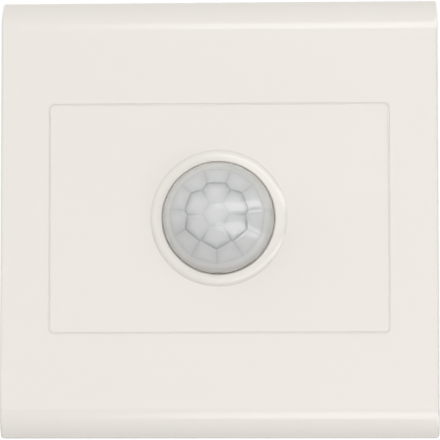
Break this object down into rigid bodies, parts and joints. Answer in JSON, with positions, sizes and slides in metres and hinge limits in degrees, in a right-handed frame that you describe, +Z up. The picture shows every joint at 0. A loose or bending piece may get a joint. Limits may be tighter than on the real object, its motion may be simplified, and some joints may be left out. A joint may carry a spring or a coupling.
{
  "type": "motion sensor light switch",
  "caption": "Square flush wall switch: a cover with a faceted dome lens clips on over a motion sensor, in front of a box with a relay and screw terminals.",
  "frame": {"origin": "on the wall surface, midway between the axes of the two fixing screws", "axes": "+Z up, +X to the right seen from the room, +Y into the wall, so the front looks along -Y"},
  "size_m": [0.086, 0.0452, 0.086],
  "materials": {
    "cover_plastic": "smooth glossy warm white",
    "lens_plastic": "milky translucent, smooth facets",
    "base_plastic": "fine matt white",
    "zinc_steel": "bright zinc plate",
    "board": "green lacquer on glass laminate",
    "black_plastic": "fine matt black",
    "tinned_metal": "bright tin",
    "nickel": "satin nickel plate",
    "infrared_filter": "dark mirror-like silicon",
    "ceramic": "fired ceramic",
    "cell_face": "clear lacquer over an orange track",
    "trimmer_blue": "matt blue",
    "trimmer_white": "matt white",
    "relay_plastic": "glossy blue",
    "copper_wire": "enamelled copper",
    "brass": "plain stamped brass",
    "film_plastic": "matt yellow",
    "capacitor_sleeve": "shrunk sleeve",
    "varistor_coat": "dipped blue lacquer",
    "resistor_coat": "cement coat",
    "terminal_plastic": "matt white"
  },
  "bodies": {
    "base": {"base_frame": "base_plastic", "rear_box": "base_plastic", "mounting_screws": "zinc_steel", "case_screws": "zinc_steel", "sensor_board": "board", "power_board": "board", "header_block": "black_plastic", "header_pins": "tinned_metal", "sensor_can": "nickel", "sensor_window": "infrared_filter", "sensor_header": "nickel", "sensing_elements": "ceramic", "sensor_spacer": "black_plastic", "light_cell": "cell_face", "light_cell_leads": "tinned_metal", "time_trimmer_body": "trimmer_blue", "lux_trimmer_body": "trimmer_blue", "control_chip": "black_plastic", "chip_leads": "tinned_metal", "relay_base": "black_plastic", "relay_case": "relay_plastic", "relay_yoke": "zinc_steel", "relay_bobbin": "black_plastic", "relay_winding": "copper_wire", "relay_core": "zinc_steel", "fixed_contact": "brass", "film_capacitor": "film_plastic", "main_capacitor": "capacitor_sleeve", "output_capacitor": "capacitor_sleeve", "varistor": "varistor_coat", "fuse_resistor": "resistor_coat", "rectifier_diodes": "black_plastic", "terminal_housing": "terminal_plastic", "terminal_contacts": "brass"},
    "cover": {"cover_frame": "cover_plastic", "insert_plate": "cover_plastic", "fresnel_lens": "lens_plastic", "lens_retainer": "base_plastic"},
    "time_rotor": {"time_trimmer_rotor": "trimmer_white"},
    "lux_rotor": {"lux_trimmer_rotor": "trimmer_white"},
    "relay_arm": {"relay_armature": "zinc_steel", "contact_blade": "brass"},
    "terminal_screw_1": {"terminal_screw_1": "zinc_steel"},
    "terminal_cage_1": {"terminal_cage_1": "zinc_steel"},
    "terminal_screw_2": {"terminal_screw_2": "zinc_steel"},
    "terminal_cage_2": {"terminal_cage_2": "zinc_steel"},
    "terminal_screw_3": {"terminal_screw_3": "zinc_steel"},
    "terminal_cage_3": {"terminal_cage_3": "zinc_steel"}
  },
  "joints": [
    {"name": "cover_pull", "type": "slide", "parent": "base", "child": "cover", "axis": [0, -1, 0], "range_m": [0, 0.03]},
    {"name": "time_turn", "type": "hinge", "parent": "base", "child": "time_rotor", "pos_m": [-0.015, 0, -0.013], "axis": [0, 1, 0], "range_deg": [-105, 105]},
    {"name": "lux_turn", "type": "hinge", "parent": "base", "child": "lux_rotor", "pos_m": [0.015, 0, -0.013], "axis": [0, 1, 0], "range_deg": [-105, 105]},
    {"name": "relay_close", "type": "hinge", "parent": "base", "child": "relay_arm", "pos_m": [-0.0035, 0.02025, 0.0092], "axis": [0, 0, 1], "range_deg": [0, 3], "stiffness_Nm_per_rad": 0.02, "springref_deg": -2.86},
    {"name": "terminal_lift_1", "type": "slide", "parent": "base", "child": "terminal_cage_1", "axis": [0, 1, 0], "range_m": [0, 0.0025]},
    {"name": "terminal_turn_1", "type": "hinge", "parent": "base", "child": "terminal_screw_1", "pos_m": [-0.01, 0, -0.019], "axis": [0, -1, 0], "range_deg": [0, 1800]},
    {"name": "terminal_lift_2", "type": "slide", "parent": "base", "child": "terminal_cage_2", "axis": [0, 1, 0], "range_m": [0, 0.0025]},
    {"name": "terminal_turn_2", "type": "hinge", "parent": "base", "child": "terminal_screw_2", "pos_m": [0, 0, -0.019], "axis": [0, -1, 0], "range_deg": [0, 1800]},
    {"name": "terminal_lift_3", "type": "slide", "parent": "base", "child": "terminal_cage_3", "axis": [0, 1, 0], "range_m": [0, 0.0025]},
    {"name": "terminal_turn_3", "type": "hinge", "parent": "base", "child": "terminal_screw_3", "pos_m": [0.01, 0, -0.019], "axis": [0, -1, 0], "range_deg": [0, 1800]}
  ],
  "couplings": [
    {"joint": "terminal_turn_1", "follows": "terminal_lift_1", "rad_per_m": 12566},
    {"joint": "terminal_turn_2", "follows": "terminal_lift_2", "rad_per_m": 12566},
    {"joint": "terminal_turn_3", "follows": "terminal_lift_3", "rad_per_m": 12566}
  ]
}
